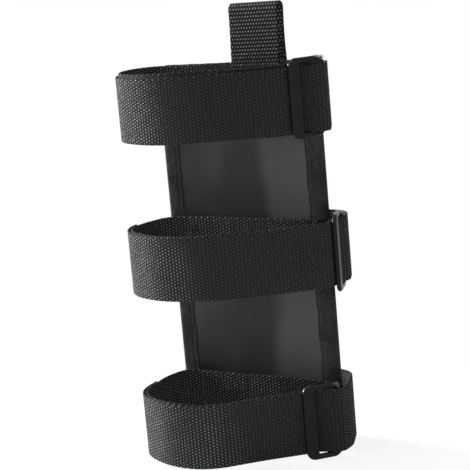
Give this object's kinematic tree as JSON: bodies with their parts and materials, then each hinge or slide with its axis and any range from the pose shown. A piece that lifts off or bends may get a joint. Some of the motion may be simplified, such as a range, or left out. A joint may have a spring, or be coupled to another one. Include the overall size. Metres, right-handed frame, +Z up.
{
  "type": "fire extinguisher strap mount",
  "caption": "Stiff bound pad with webbing straps that hold an extinguisher cylinder in front and close through moulded rings round a roll bar behind.",
  "frame": {"origin": "middle of the pad's lower edge, in the middle of its thickness", "axes": "+Z up the pad, +X to the right seen from the front, -Y out of the pad's face towards the cylinder"},
  "size_m": [0.1682, 0.1276, 0.35],
  "materials": {
    "board": "matte",
    "vinyl": "satin",
    "binding": "matte",
    "webbing": "matte",
    "tape": "matte",
    "ring": "gloss"
  },
  "bodies": {
    "holder": {"pad_board": "board", "pad_face": "vinyl", "pad_back": "vinyl", "pad_binding": "binding", "carry_handle": "webbing", "front_strap_bottom": "webbing", "closing_strap_bottom": "webbing", "loop_tape_bottom": "tape", "hook_tape_bottom": "tape", "front_strap_middle": "webbing", "closing_strap_middle": "webbing", "loop_tape_middle": "tape", "hook_tape_middle": "tape", "front_strap_top": "webbing", "closing_strap_top": "webbing", "loop_tape_top": "tape", "hook_tape_top": "tape"},
    "bottom_ring": {"ring_bottom": "ring"},
    "middle_ring": {"ring_middle": "ring"},
    "top_ring": {"ring_top": "ring"}
  },
  "joints": [
    {"name": "ring_bottom_swing", "type": "hinge", "parent": "holder", "child": "bottom_ring", "pos_m": [0.07579, -0.01776, 0.03], "axis": [0, 0, 1], "range_deg": [0, 45]},
    {"name": "ring_middle_swing", "type": "hinge", "parent": "holder", "child": "middle_ring", "pos_m": [0.07472, 0.01131, 0.155], "axis": [0, 0, 1], "range_deg": [0, 45]},
    {"name": "ring_top_swing", "type": "hinge", "parent": "holder", "child": "top_ring", "pos_m": [0.07726, -0.00906, 0.2785], "axis": [0, 0, 1], "range_deg": [0, 45]}
  ]
}
